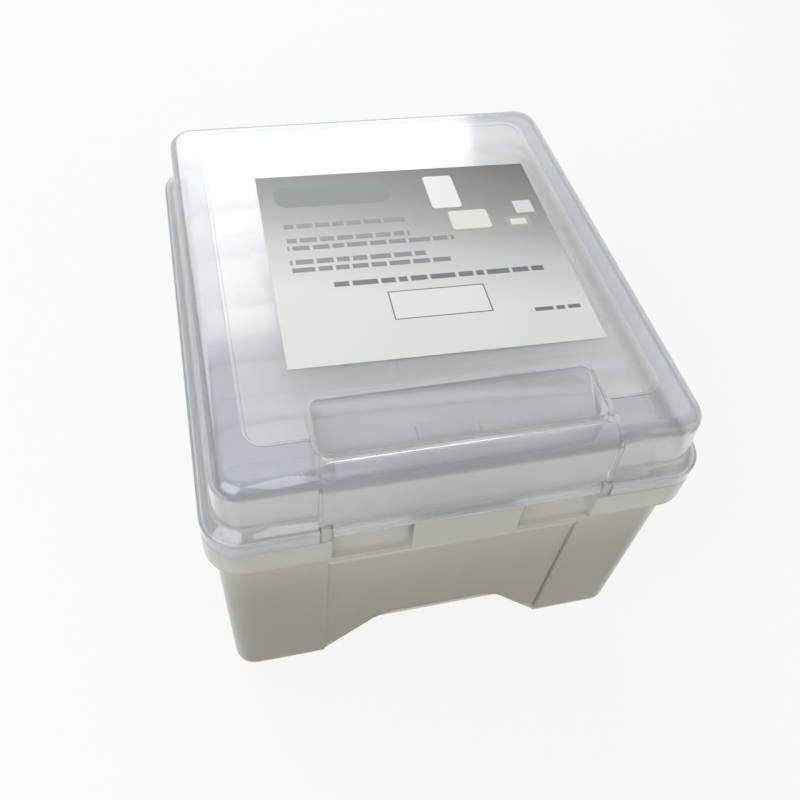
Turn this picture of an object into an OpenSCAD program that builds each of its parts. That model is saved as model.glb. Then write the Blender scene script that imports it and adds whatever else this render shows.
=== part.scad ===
// Photo keeper case: a hinged carrying case that holds six upright photo boxes.
// Origin: bottom centre of the closed case. X runs along the front, Y to the back, Z up.

/* [Photo boxes] */
// Length of one photo box, along the front of the case
box_length = 170; // [150:1:200]
// Height of one photo box as it stands on its long edge
box_height = 115; // [105:1:140]
// Thickness of one photo box, tray and lid together
box_depth = 30; // [26:0.5:36]
// Depth of a photo box's lid, out of its thickness
box_lid_depth = 9.5; // [9:0.5:11]
// Wall of the photo boxes
box_wall = 1.2; // [1:0.1:1.6]
// Rounding of the edges round a photo box's two large faces
box_edge = 6.5; // [6.5:0.1:6.8]
// Rounding of the four corners of a photo box's large faces
box_corner = 8; // [7:0.5:12]

/* [Box catches and hinges] */
// Width of the catch tongue on a photo box's lid
tongue_w = 24; // [16:1:36]
// How far the catch tongue reaches over the tray
tongue_reach = 8; // [6:0.5:11]
// Distance of a photo box's hinges from its middle
box_hinge_x = 50; // [35:1:55]
// Width of a photo box's hinge barrel
box_barrel_w = 12; // [8:1:18]
// Radius of a photo box's hinge barrel
box_barrel_r = 2; // [1.8:0.1:2.2]
// Radius of a photo box's hinge pins
box_pin_r = 1; // [0.8:0.1:1.2]
// Length of a photo box's hinge pins, and width of the ears that hold them
box_pin_len = 3; // [2:0.5:4]

/* [Case shell] */
// Wall of the case and of its lid
wall = 1.5; // [1.3:0.1:1.8]
// Thickness of the case floor
floor_t = 1.6; // [1.2:0.1:2.4]
// Height of the foot rim under the floor
foot_rise = 1; // [0.6:0.1:2]
// Width of the foot rim
foot_rim_w = 8; // [6:0.5:12]
// Rounding of the bottom edge
foot_round = 3; // [2.4:0.1:3.2]
// Plan radius of the case corners at the foot
foot_corner = 8.5; // [7.8:0.1:8.6]
// How far the case walls lean out from foot to rim
wall_lean = 2; // [1:0.1:3]
// How far the rim flange stands out past the foot at the sides
flange_side = 5.5; // [4.5:0.1:7]
// How far the rim flange stands out past the foot at the front
flange_front = 6.5; // [6:0.1:8]
// How far the rim flange stands out past the foot at the back
flange_back = 3.5; // [3:0.1:5]
// Plan radius of the flange corners
flange_corner = 14; // [12:0.5:18]
// Height of the upright part of the case flange
flange_h = 12.5; // [10:0.5:16]
// Height over which the case wall swells out into the flange
flange_swell = 5; // [3:0.5:7]
// How far the boxes stand out above the case rim
box_stand_out = 9.6; // [8:0.2:12]
// Height of the upstand that locates the lid
upstand_h = 3.3; // [2.4:0.1:4]
// Wall of the upstand
upstand_t = 1.4; // [1:0.1:1.8]

/* [Front grip] */
// Depth of the arched finger recess under the front
recess_depth = 12; // [9:0.5:16]
// Half width of the arch at the floor
arch_foot = 50; // [46:1:54]
// Half width of the arch at its top
arch_top = 25; // [18:1:32]
// Height of the arch
arch_h = 28; // [20:1:34]
// Radius of the arch's upper corners
arch_corner = 12; // [8:1:16]
// Half width of the middle front panel
panel_half = 49.2; // [47:0.1:51]
// How far the middle front panel is set back from the wall
panel_inset = 1.2; // [0.8:0.1:1.4]
// How far the middle of the rim is set back from the flange front
rim_setback = 3.5; // [3.2:0.1:4]
// Width of the upright ears beside the middle panel
ear_w = 4; // [3.4:0.1:6]
// How far the ears rise above the case rim
ear_rise = 8; // [5:0.5:9]

/* [Lid] */
// Free height above the photo boxes under the lid
head_room = 19.7; // [19.5:0.1:30]
// Height of the upright part of the lid flange
lid_flange_h = 5.5; // [4.5:0.1:7]
// Height of the sloping ledge between lid flange and lid wall
lid_ledge_h = 4.5; // [3:0.1:5]
// How far the lid wall stands in from the flange at the sides
lid_ledge = 4.5; // [4.2:0.1:5]
// How far the lid wall stands in from the flange at the front
lid_ledge_front = 4.3; // [3.5:0.1:5]
// How far the lid wall stands in from the flange at the back
lid_ledge_back = 1.2; // [1:0.1:1.8]
// How far the lid walls lean in from ledge to top
lid_lean = 0.5; // [0.4:0.1:0.7]
// Rounding of the lid's top edge
lid_edge = 5.5; // [4:0.5:7]
// Plan radius of the lid's top corners
lid_corner = 10.5; // [9.5:0.1:10.6]
// How far the panel on top of the lid is raised
top_rise = 0.6; // [0.4:0.1:1.5]
// Border from the lid's top edge line to the raised panel at the sides and the back
top_border = 12.5; // [10:0.5:16]
// Border from the lid's top edge line to the raised panel at the front
top_border_front = 16; // [14:0.5:20]
// Plan radius of the raised panel's corners
top_corner = 8; // [5:0.5:12]

/* [Finger pocket] */
// Half width of the finger pocket in the lid
pocket_half = 51.5; // [44:0.5:56]
// Length of the pocket from its back edge to its front wall
pocket_len = 23.5; // [20:0.5:28]
// Depth of the pocket below the rim round it
pocket_depth = 14.5; // [10:0.5:15.5]
// Length of the level floor in front of the pocket's slope
pocket_floor = 5; // [3:0.5:8]
// Plan radius of the pocket's corners
pocket_corner = 5; // [3:0.5:8]
// Width of the raised rim round the pocket
pocket_rim = 2; // [1.5:0.1:2.4]
// Level width of the grip bar between the pocket and the lid's front
grip_bar = 4; // [3:0.5:6]
// How far the middle of the lid's front stands proud of the lid wall
band_proud = 1.6; // [1:0.1:2.2]
// Radius over the top edge of the grip bar
band_round = 7; // [5:0.5:8]
// How much higher the lid's lower edge is in the middle of the front
band_lift = 3; // [2:0.1:3.2]

/* [Snap tab] */
// Width of the snap tab
tab_w = 40; // [30:1:60]
// Height of the snap tab
tab_h = 17.6; // [14:0.2:20]
// Thickness of the snap tab
tab_t = 1.6; // [1.2:0.1:1.8]
// Height of the catch rib on the case and of the bead on the tab
catch_h = 2.4; // [1.6:0.1:3]
// How far the bead stands in from the tab
bead_reach = 0.4; // [0.3:0.1:0.6]

/* [Case hinge] */
// Distance of each case hinge from the middle
hinge_x = 55; // [40:1:62]
// Width of the lid's hinge barrel
barrel_w = 14; // [10:1:20]
// Outer radius of the hinge barrels and lugs
barrel_r = 2.6; // [2.4:0.1:2.8]
// Radius of the hinge pins moulded on the lid
pin_r = 1.5; // [1.2:0.1:1.6]
// Length of each pin, and width of the lug that holds it
pin_len = 4; // [3:0.5:6]
// Height of the gusset under each hinge lug
gusset_h = 9; // [7:0.5:12]

/* [Label] */
// Length of the label card along the front
label_length = 120; // [90:0.5:126]
// Width of the label card, front to back
label_width = 109.5; // [80:0.5:112]
// Thickness of the label card
label_t = 0.3; // [0.2:0.05:0.5]
// Sideways place of the label's middle
label_x = 5; // [0:0.5:8]
// Front to back place of the label's middle
label_y = 0.5; // [0:0.5:4]
// Angle at which the label card lies
label_turn = -1.3; // [-2:0.1:2]

/* [Clearances] */
// Gap between parts that move past each other
gap = 0.3; // [0.2:0.05:0.4]
// Room beside a photo box's ends
box_side_room = 0.5; // [0.4:0.05:1]
// Radial clearance of a pin in its bore
pin_play = 0.06; // [0.03:0.01:0.1]

/* [Hidden] */
clear_plastic = [0.87, 0.89, 0.90, 0.55];
box_plastic = [0.80, 0.84, 0.86, 0.65];
card_grey = [0.86, 0.86, 0.85];
box_count = 6;
arc_steps = 6;
round_fn = 48;
past = 1;

// Front to back places, worked out from the row of boxes
box_pitch = box_depth + gap;
row_length = box_count * box_pitch + gap;
hinge_reach = gap + barrel_r;
depth = hinge_reach + flange_back + wall + row_length + wall + recess_depth + flange_front;
case_back = depth / 2;
case_front = -depth / 2;
flange_back_y = case_back - hinge_reach;
foot_back = flange_back_y - flange_back;
row_back = foot_back - wall;
row_front = row_back - row_length;
foot_front = case_front + flange_front;

// Side to side places
inner_half = box_length / 2 + box_side_room;
foot_half = inner_half + wall;
flange_half = foot_half + flange_side;

// Heights
floor_z = foot_rise + floor_t;
box_z = floor_z + gap;
box_top = box_z + box_height;
rim_z = box_top - box_stand_out;
swell_top = rim_z - flange_h;
swell_low = swell_top - flange_swell;
lid_z = rim_z + gap;
ledge_low = lid_z + lid_flange_h;
ledge_top = ledge_low + lid_ledge_h;
ceiling_z = box_top + head_room;
top_z = ceiling_z + wall;
panel_z = top_z + top_rise;
label_top = panel_z + label_t;
band_low = lid_z + band_lift;

// Lid outline at the top
lid_half = flange_half - lid_ledge - lid_lean;
lid_front = case_front + lid_ledge_front + lid_lean;
lid_back = flange_back_y - lid_ledge_back - lid_lean / 2;

// Finger pocket and the band in front of it
band_face = lid_front - band_proud;
grip_front = band_face + band_round;
pocket_front = grip_front + grip_bar;
pocket_back = pocket_front + pocket_len;
pocket_low = label_top - pocket_depth;
band_half = pocket_half + pocket_rim;

// Level at which the lid's top begins, and the space round the pocket that belongs to the top
top_from_z = top_z - lid_edge;
pocket_room_half = pocket_half + 2 * wall;
pocket_room_front = (lid_front + pocket_front) / 2;
pocket_room_back = pocket_back + 3 * wall;

// Ears beside the middle of the front
ear_in = panel_half;
ear_out = ear_in + ear_w;
setback_y = case_front + rim_setback;

// Hinge axis of the lid
axis_y = flange_back_y + gap;
axis_z = rim_z + gap / 2;

// Snap tab and the rib that it catches
tab_roll = tab_t / 2;
tab_axis_y = case_front + tab_roll;
tab_axis_z = band_low - gap - tab_roll;
tab_low = tab_axis_z + tab_roll - tab_h;
tab_inner_y = case_front + tab_t;
bead_y = tab_inner_y + bead_reach;
catch_y = bead_y + gap;
bead_low = tab_low + tab_roll;
catch_low = bead_low + catch_h + gap;
catch_half = tab_w / 2 - 2;

// Parting plane and hinge axis inside one photo box
split_z = box_depth - box_lid_depth;
lip_top = box_depth - box_edge;
box_axis_y = box_barrel_r + gap;
box_axis_z = split_z + gap / 2;

// Points of a rounded rectangle, anticlockwise seen from above
function arc_points(x, y, r, start) =
    [for (i = [0:arc_steps]) [x + r * cos(start + 90 * i / arc_steps), y + r * sin(start + 90 * i / arc_steps)]];

function outline(half, front, back, r) = concat(
    arc_points(half - r, back - r, r, 0),
    arc_points(-half + r, back - r, r, 90),
    arc_points(-half + r, front + r, r, 180),
    arc_points(half - r, front + r, r, 270)
);

// One level of a lofted shell: height, half width, front, back and corner radius
function level(z, half, front, back, r) = [z, outline(half, front, back, r)];

// Solid through a stack of outlines that all have the same number of points
module loft(levels) {
    n = len(levels[0][1]);
    last = len(levels) - 1;
    corners = [for (ring = levels) for (p = ring[1]) [p[0], p[1], ring[0]]];
    sides = [for (k = [0:last - 1]) for (i = [0:n - 1])
        [k * n + i, k * n + (i + 1) % n, (k + 1) * n + (i + 1) % n, (k + 1) * n + i]];
    lower = [for (i = [0:n - 1]) i];
    upper = [for (i = [n - 1:-1:0]) last * n + i];
    polyhedron(points = corners, faces = concat([lower, upper], [for (f = sides) [f[3], f[2], f[1], f[0]]]));
}

// Profile drawn as [y, z] points and drawn out sideways to x = -half .. half
module sideways(half, points) {
    translate([-half, 0, 0])
        rotate([90, 0, 90])
            linear_extrude(2 * half)
                polygon(points);
}

// Round bar along X, centred on x
module x_bar(x, y, z, r, length) {
    translate([x - length / 2, y, z])
        rotate([0, 90, 0])
            cylinder(r = r, h = length, $fn = round_fn);
}

// Block given by its lowest and highest corners
module block(low, high) {
    translate(low)
        cube(high - low);
}

// Case base

module base_outside() {
    foot = [for (a = [0:30:90])
        let (inset = foot_round * (1 - sin(a)))
        level(foot_round * (1 - cos(a)), foot_half - inset, foot_front + inset, foot_back - inset,
            foot_corner - inset)];
    loft(concat(foot, [
        level(swell_low, foot_half + wall_lean, foot_front - wall_lean, foot_back + wall_lean / 2,
            foot_corner + wall_lean),
        level(swell_top, flange_half, case_front, flange_back_y, flange_corner),
        level(rim_z, flange_half, case_front, flange_back_y, flange_corner)
    ]));
}

module base_inside() {
    loft([
        level(floor_z, inner_half, foot_front + wall, row_back, foot_corner - wall),
        level(swell_low + wall / 2, foot_half + wall_lean - wall, foot_front - wall_lean + wall,
            foot_back + wall_lean / 2 - wall, foot_corner + wall_lean - wall),
        level(swell_top + wall / 2, flange_half - wall, case_front + wall, flange_back_y - wall,
            flange_corner - wall),
        level(rim_z + past, flange_half - wall, case_front + wall, flange_back_y - wall,
            flange_corner - wall)
    ]);
}

// Plate in the plan outline of the flange, drawn in by inset
module flange_plate(inset, low, high) {
    translate([0, 0, low])
        linear_extrude(high - low)
            polygon(outline(flange_half - inset, case_front + inset, flange_back_y - inset,
                flange_corner - inset));
}

// Ring that stands up inside the lid's flange and locates it
module upstand() {
    outer = wall + gap;
    difference() {
        union() {
            flange_plate(outer, rim_z - wall, rim_z + upstand_h);
            flange_plate(wall / 2, rim_z - wall, rim_z);
        }
        flange_plate(outer + upstand_t, rim_z - wall - past, rim_z + upstand_h + past);
    }
}

// Everything in front of the middle panel, with the panel's face moved back by t
module middle_front(half, t, top) {
    panel_y = foot_front + panel_inset + t;
    sideways(half, [
        [case_front - past, top],
        [case_front - past, -past],
        [panel_y, -past],
        [panel_y, foot_round],
        [panel_y - wall_lean, swell_low - 2 * flange_swell],
        [setback_y + t, swell_low],
        [setback_y + t, top]
    ]);
}

// Outline of the finger arch, grown outwards by t
function arch_points(t) =
    let (
        slope = atan2(arch_h, arch_foot - arch_top),
        x = arch_top - arch_corner * tan(slope / 2),
        z = arch_h - arch_corner,
        r = arch_corner + t,
        foot_x = x + r * sin(slope) + (z + r * cos(slope) + past) / tan(slope)
    )
    concat(
        [[foot_x, -past]],
        [for (i = [0:arc_steps]) let (a = 90 - slope * (1 - i / arc_steps)) [x + r * cos(a), z + r * sin(a)]],
        [for (i = [0:arc_steps]) let (a = 90 + slope * i / arc_steps) [-x + r * cos(a), z + r * sin(a)]],
        [[-foot_x, -past]]
    );

module arch(t, back) {
    translate([0, back, 0])
        rotate([90, 0, 0])
            linear_extrude(back - case_front + past)
                polygon(arch_points(t));
}

module base_shell() {
    difference() {
        union() {
            difference() {
                base_outside();
                difference() {
                    base_inside();
                    middle_front(panel_half + wall, wall, rim_z + 2 * past);
                    arch(wall, row_front);
                }
            }
            upstand();
        }
        middle_front(panel_half, 0, rim_z + upstand_h + past);
        arch(0, row_front - wall);
        translate([0, 0, -past])
            linear_extrude(foot_rise + past)
                polygon(outline(foot_half - foot_rim_w, row_front - wall + foot_rim_w, foot_back - foot_rim_w,
                    foot_corner));
    }
}

// Wall of the rim in the middle of the front, with the rib that the snap tab catches
module rim_middle() {
    block([-panel_half - wall, setback_y, swell_low], [panel_half + wall, setback_y + wall, rim_z + upstand_h]);
    block([-catch_half, catch_y, catch_low], [catch_half, setback_y + wall / 2, catch_low + catch_h]);
}

// Upright ends of the front flange, one on each side of the middle panel
module ears() {
    for (side = [-1, 1])
        translate([side * (ear_in + ear_w / 2), 0, 0]) {
            block([-ear_w / 2, case_front, swell_top], [ear_w / 2, setback_y + wall, rim_z]);
            block([-ear_w / 2 + gap, case_front + gap, rim_z - past],
                [ear_w / 2 - gap, setback_y - gap, rim_z + ear_rise]);
        }
}

module at_hinges() {
    for (side = [-1, 1])
        translate([side * hinge_x, 0, 0])
            children();
}

module at_lugs() {
    at_hinges()
        for (end = [-1, 1])
            translate([end * (barrel_w / 2 + gap + pin_len / 2), 0, 0])
                children();
}

// Lug at the back of the rim that holds one end of a hinge pin
module hinge_lug() {
    x_bar(0, axis_y, axis_z, barrel_r, pin_len);
    sideways(pin_len / 2, [
        [flange_back_y - wall, axis_z],
        [flange_back_y - wall, axis_z - gusset_h],
        [flange_back_y, axis_z - gusset_h],
        [axis_y + barrel_r, axis_z]
    ]);
}

module case_base() {
    color(clear_plastic)
        difference() {
            union() {
                base_shell();
                rim_middle();
                ears();
                at_lugs() hinge_lug();
            }
            at_lugs() x_bar(0, axis_y, axis_z, pin_r + pin_play, pin_len + 2 * gap);
            at_hinges() x_bar(0, axis_y, axis_z, barrel_r + gap, barrel_w + 2 * gap);
        }
}

// Case lid

// Levels of the lid from its lower edge to its top, all drawn in by t
function lid_levels(t) =
    let (
        drop = t * tan(22.5),
        r = lid_edge - t,
        edge_z = top_z - lid_edge
    )
    concat(
        [
            level(lid_z - (t > 0 ? past : 0), flange_half - t, case_front + t, flange_back_y - t,
                flange_corner - t),
            level(ledge_low - drop, flange_half - t, case_front + t, flange_back_y - t, flange_corner - t),
            level(ledge_top - drop, flange_half - lid_ledge - t, case_front + lid_ledge_front + t,
                flange_back_y - lid_ledge_back - t, lid_corner - t)
        ],
        [for (a = [0:22.5:90])
            let (inset = r * (1 - cos(a)) + t)
            level(edge_z + r * sin(a), lid_half - inset, lid_front + inset, lid_back - inset,
                lid_corner - inset)]
    );

// Raised panel on the lid's top, drawn in by t
module top_panel(t, low, high) {
    translate([0, 0, low])
        linear_extrude(high - low)
            polygon(outline(lid_half - top_border - t, lid_front + top_border_front + t,
                lid_back - top_border - t, top_corner - t));
}

// Profile of the proud band at the middle of the lid's front, drawn in by t
function band_points(t) =
    let (
        r = band_round - t,
        back = lid_front + wall + t,
        roof = label_top - t
    )
    concat(
        [[pocket_front, ceiling_z - t], [pocket_front, roof]],
        [for (i = [0:arc_steps]) let (a = 90 + 90 * i / arc_steps)
            [grip_front + r * cos(a), label_top - band_round + r * sin(a)]],
        [
            [band_face - band_proud / 2 + t, ledge_top],
            [case_front + t, ledge_low],
            [case_front + t, lid_z - t],
            [back, lid_z - t],
            [back, top_z - lid_edge],
            [lid_front + lid_edge, ceiling_z - t]
        ]
    );

// Space of the finger pocket, grown outwards by t for the wall round it
module pocket(t) {
    grow = 2 * t;
    intersection() {
        translate([0, 0, pocket_low - t])
            linear_extrude(label_top + past - pocket_low + t)
                polygon(outline(pocket_half + t, pocket_front - t, pocket_back + grow, pocket_corner + t));
        sideways(pocket_half + t + past, [
            [pocket_back + grow, label_top],
            [pocket_back + grow, label_top + 2 * past],
            [pocket_front - t - past, label_top + 2 * past],
            [pocket_front - t - past, pocket_low - t],
            [pocket_front + pocket_floor, pocket_low - t]
        ]);
    }
}

module pocket_lip() {
    translate([0, 0, ceiling_z])
        linear_extrude(label_top - ceiling_z)
            polygon(outline(band_half, pocket_front - pocket_rim, pocket_back + pocket_rim,
                pocket_corner + pocket_rim));
}

module lid_shell() {
    difference() {
        union() {
            loft(lid_levels(0));
            top_panel(0, ceiling_z, panel_z);
            sideways(band_half, band_points(0));
            pocket_lip();
        }
        difference() {
            union() {
                loft(lid_levels(wall));
                top_panel(wall, ceiling_z - past, panel_z - wall);
                sideways(band_half - wall, band_points(wall));
            }
            pocket(wall);
        }
        pocket(0);
    }
}

// Slots for the ears, and the raised lower edge between them
module front_openings() {
    for (side = [-1, 1])
        translate([side * (ear_in + ear_w / 2), 0, 0])
            block([-ear_w / 2 - gap, case_front - past, lid_z - past],
                [ear_w / 2 + gap, setback_y, rim_z + ear_rise + gap]);
    block([-ear_in, case_front - past, lid_z - past], [ear_in, setback_y, band_low]);
}

// Everything that counts as the lid's top: the roof with its rounded edge, and the finger pocket
module top_space() {
    block([-flange_half - past, case_front - past, top_from_z], [flange_half + past, case_back, label_top + past]);
    block([-pocket_room_half, pocket_room_front, pocket_low - 2 * wall],
        [pocket_room_half, pocket_room_back, top_from_z + past]);
}

module case_lid_skirt() {
    color(clear_plastic)
        union() {
            difference() {
                lid_shell();
                top_space();
                front_openings();
                at_lugs() x_bar(0, axis_y, axis_z, barrel_r + gap, pin_len + 2 * gap);
            }
            at_hinges() x_bar(0, axis_y, axis_z, barrel_r, barrel_w);
            at_hinges() x_bar(0, axis_y, axis_z, pin_r, barrel_w + 2 * pin_len);
        }
}

module case_lid_top() {
    color(clear_plastic)
        intersection() {
            lid_shell();
            top_space();
        }
}

// Snap tab, hung from the lid's lower edge

module snap_tab() {
    color(clear_plastic)
        union() {
            x_bar(0, tab_axis_y, tab_axis_z, tab_roll, tab_w);
            sideways(tab_w / 2, [
                [case_front, tab_axis_z],
                [case_front, tab_low + tab_roll],
                [case_front + tab_roll / 2, tab_low],
                [tab_inner_y, tab_low],
                [tab_inner_y, tab_axis_z]
            ]);
            sideways(catch_half, [
                [tab_inner_y - tab_roll, bead_low],
                [bead_y, bead_low],
                [bead_y, bead_low + catch_h],
                [tab_inner_y - tab_roll, bead_low + catch_h]
            ]);
        }
}

// Label card on the raised panel

module label_card() {
    color(card_grey)
        translate([label_x, label_y, panel_z])
            rotate(label_turn)
                linear_extrude(label_t)
                    square([label_length, label_width], center = true);
}

// Photo boxes. Each is drawn lying on its back, with its lid on top, and then stood up.

// Solid of a closed photo box, drawn in by t
module box_block(t) {
    r = box_edge - t;
    half = box_length / 2 - t;
    function rounded(z, inset) = level(z, half - inset, t + inset, box_height - t - inset, box_corner - t - inset);
    loft(concat(
        [for (a = [0:30:90]) rounded(t + r * (1 - cos(a)), r * (1 - sin(a)))],
        [for (a = [0:30:90]) rounded(box_depth - t - r * (1 - sin(a)), r * (1 - cos(a)))]
    ));
}

// Slab across a photo box between two depths
module box_slab(low, high) {
    block([-box_length, -past, low], [box_length, box_height + past, high]);
}

// Plate in the outline of a photo box, drawn in by t
module box_plate(t, low, high) {
    translate([0, 0, low])
        linear_extrude(high - low)
            polygon(outline(box_length / 2 - t, t, box_height - t, box_corner - t));
}

module at_box_hinges() {
    for (side = [-1, 1])
        translate([side * box_hinge_x, box_axis_y, box_axis_z])
            rotate([0, 90, 0])
                children();
}

module at_box_ears() {
    at_box_hinges()
        for (end = [-1, 1])
            translate([0, 0, end * (box_barrel_w / 2 + gap + box_pin_len / 2)])
                children();
}

module rod(r, length) {
    cylinder(r = r, h = length, center = true, $fn = round_fn);
}

module tray_solid() {
    difference() {
        union() {
            difference() {
                box_block(0);
                box_block(box_wall);
                box_slab(split_z, box_depth + past);
            }
            difference() {
                union() {
                    box_plate(box_wall + gap, split_z - box_wall, lip_top);
                    box_plate(box_wall / 2, split_z - box_wall, split_z);
                }
                box_plate(2 * box_wall + gap, split_z - box_wall - past, lip_top + past);
            }
            block([-tongue_w / 2 - box_wall, box_height - 3 * box_wall, split_z - tongue_reach - box_wall],
                [tongue_w / 2 + box_wall, box_height - box_wall / 2, split_z]);
            at_box_ears() rod(box_barrel_r, box_pin_len);
        }
        block([-tongue_w / 2 - gap, box_height - box_wall - gap, split_z - tongue_reach - gap],
            [tongue_w / 2 + gap, box_height + past, split_z + past]);
        at_box_ears() rod(box_pin_r + pin_play, box_pin_len + gap);
        at_box_hinges() rod(box_barrel_r + gap, box_barrel_w + 2 * gap);
    }
}

module lid_solid() {
    difference() {
        union() {
            difference() {
                box_block(0);
                box_block(box_wall);
                box_slab(-past, split_z + gap);
                at_box_ears() rod(box_barrel_r + gap, box_pin_len + 2 * gap);
            }
            block([-tongue_w / 2, box_height - box_wall, split_z - tongue_reach],
                [tongue_w / 2, box_height, box_depth - box_edge]);
            at_box_hinges() rod(box_barrel_r, box_barrel_w);
            at_box_hinges() rod(box_pin_r, box_barrel_w + 2 * box_pin_len);
        }
    }
}

// Stands a photo box in its place in the row, counted from the front
module in_row(place) {
    translate([0, row_front + place * box_pitch, box_z])
        rotate([90, 0, 0])
            children();
}

module box_tray(place) {
    color(box_plastic)
        in_row(place) tray_solid();
}

module box_lid(place) {
    color(clear_plastic)
        in_row(place) lid_solid();
}

case_base();
case_lid_skirt();
case_lid_top();
snap_tab();
label_card();
box_tray(1);  // box_1_tray
box_lid(1);  // box_1_lid
box_tray(2);  // box_2_tray
box_lid(2);  // box_2_lid
box_tray(3);  // box_3_tray
box_lid(3);  // box_3_lid
box_tray(4);  // box_4_tray
box_lid(4);  // box_4_lid
box_tray(5);  // box_5_tray
box_lid(5);  // box_5_lid
box_tray(6);  // box_6_tray
box_lid(6);  // box_6_lid
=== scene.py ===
# %% [markdown]
# A photo keeper case: a hinged carrying case of natural polypropylene that holds six upright photo
# boxes. Nearly everything you see is thin moulded plastic with light passing through it, so the
# shapes matter twice: once from outside, and once more where they show through a wall.
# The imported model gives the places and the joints. Here each wall gets its finer roundings and
# its finish. Sizes are in millimetres while a piece is made, and in metres once it is done.

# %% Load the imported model
import math
import bmesh
import bpy
from mathutils import Matrix, Vector


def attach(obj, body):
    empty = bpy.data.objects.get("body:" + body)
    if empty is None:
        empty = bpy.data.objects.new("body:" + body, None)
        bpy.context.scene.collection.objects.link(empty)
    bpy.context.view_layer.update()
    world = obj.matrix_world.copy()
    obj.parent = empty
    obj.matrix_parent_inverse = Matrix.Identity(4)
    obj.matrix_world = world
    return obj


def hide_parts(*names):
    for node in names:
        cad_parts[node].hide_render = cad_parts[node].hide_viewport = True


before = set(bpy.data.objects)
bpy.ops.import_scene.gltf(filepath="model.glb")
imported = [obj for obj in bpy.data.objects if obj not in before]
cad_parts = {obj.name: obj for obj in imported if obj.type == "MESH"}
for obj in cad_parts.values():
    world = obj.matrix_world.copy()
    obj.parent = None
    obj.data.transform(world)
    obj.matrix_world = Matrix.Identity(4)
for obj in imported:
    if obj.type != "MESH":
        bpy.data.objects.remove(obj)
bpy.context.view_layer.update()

# %% [markdown]
# The camera comes before anything else is made, because every look at the work goes through it.
# It stands in front of the case, a little to the left, and looks down at about fifty degrees.
# Three directions fix how it is turned: where it looks, what is right, and what is up.

# %% Camera
MM = 0.001
scene = bpy.context.scene
looks_along = Vector((0.20948, 0.60252, -0.77012)).normalized()
points_right = Vector((0.96956, -0.23009, 0.08371)).normalized()
points_up = points_right.cross(looks_along)
lens = bpy.data.cameras.new("camera")
lens.sensor_width = 36
lens.lens = 37.71
lens.clip_start = 0.01
camera = bpy.data.objects.new("camera", lens)
camera.matrix_world = Matrix((points_right, points_up, -looks_along)).transposed().to_4x4()
camera.location = Vector((-80.57, -245.36, 360.83)) * MM
scene.collection.objects.link(camera)
scene.camera = camera
scene.view_settings.view_transform = "Standard"
print("camera height", round(camera.location.z, 3), "m")

# %% [markdown]
# Most of the case is a stack of rounded rectangles: foot, wall, flange, ledge and top edge each
# have their own outline, and the wall runs smoothly from one to the next. One outline is a single
# face whose four corners are beveled round. Bridging one outline to the next makes the wall, which
# is easier to keep even than pulling a subdivided box into shape.

# %% Helpers for outlines and lofts
CORNER_STEPS = 10


def rounded_face(bm, points, rounds):
    """One face through the points. rounds names the corners to round, and by how much."""
    verts = [bm.verts.new(point) for point in points]
    bm.faces.new(verts)
    for number, radius in rounds.items():
        bmesh.ops.bevel(bm, geom=[verts[number]], offset=radius, segments=CORNER_STEPS, profile=0.5,
                        affect="VERTICES", material=-1)
    bm.faces.ensure_lookup_table()
    return bm.faces[-1]


def outline(bm, level):
    """The rounded rectangle of one level: height, half width, front, back, corner radius."""
    z, half, front, back, corner = level
    points = [(-half, front, z), (half, front, z), (half, back, z), (-half, back, z)]
    return rounded_face(bm, points, {n: corner for n in range(4)})


def loft(levels):
    """A closed solid through a stack of levels, lowest first."""
    bm = bmesh.new()
    loops, inner_faces = [], []
    for level in levels:
        known = set(bm.faces)
        outline(bm, level)
        face = next(f for f in bm.faces if f not in known)
        loops.append(list(face.edges))
        inner_faces.append(face)
    bmesh.ops.delete(bm, geom=inner_faces[1:-1], context="FACES_ONLY")
    for lower, upper in zip(loops, loops[1:]):
        bmesh.ops.bridge_loops(bm, edges=lower + upper)
    return working_solid(bm)


def working_solid(bm):
    """Turns a bmesh into a working object whose faces point outwards."""
    bmesh.ops.remove_doubles(bm, verts=bm.verts, dist=0.0005)
    bmesh.ops.recalc_face_normals(bm, faces=bm.faces)
    mesh = bpy.data.meshes.new("work")
    bm.to_mesh(mesh)
    bm.free()
    made = bpy.data.objects.new("work", mesh)
    scene.collection.objects.link(made)
    return made


def swell(low, high, steps=8):
    """Levels that turn softly from the outline of low to that of high."""
    levels = []
    for step in range(steps + 1):
        share = step / steps
        eased = share * share * (3 - 2 * share)
        height = low[0] + share * (high[0] - low[0])
        levels.append((height, *(below + eased * (above - below) for below, above in zip(low[1:], high[1:]))))
    return levels


# %% [markdown]
# The arched recess, the finger pocket and the slots are cut with solids of their own. Each cutter
# is one drawn profile pulled straight through, as a mould's slide is, and then a Boolean takes it
# away. The working solids stay closed, so the cuts stay clean.

# %% Helpers for profiles, blocks, bars and cuts
def pulled(points, rounds, along):
    """A profile face pulled straight along a vector."""
    bm = bmesh.new()
    face = rounded_face(bm, points, rounds)
    grown = bmesh.ops.extrude_face_region(bm, geom=[face])["geom"]
    moved = [part for part in grown if isinstance(part, bmesh.types.BMVert)]
    bmesh.ops.translate(bm, vec=along, verts=moved)
    return working_solid(bm)


def sideways(half, profile, rounds={}):
    """A profile of (y, z) points pulled through from -half to half."""
    return pulled([(-half, y, z) for y, z in profile], rounds, (2 * half, 0, 0))


def forwards(front, back, profile, rounds={}):
    """A profile of (x, z) points pulled from front to back."""
    return pulled([(x, front, z) for x, z in profile], rounds, (0, back - front, 0))


def plate(level, top):
    """A straight-sided plate from one level up to a height."""
    return loft([level, (top, *level[1:])])


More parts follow.
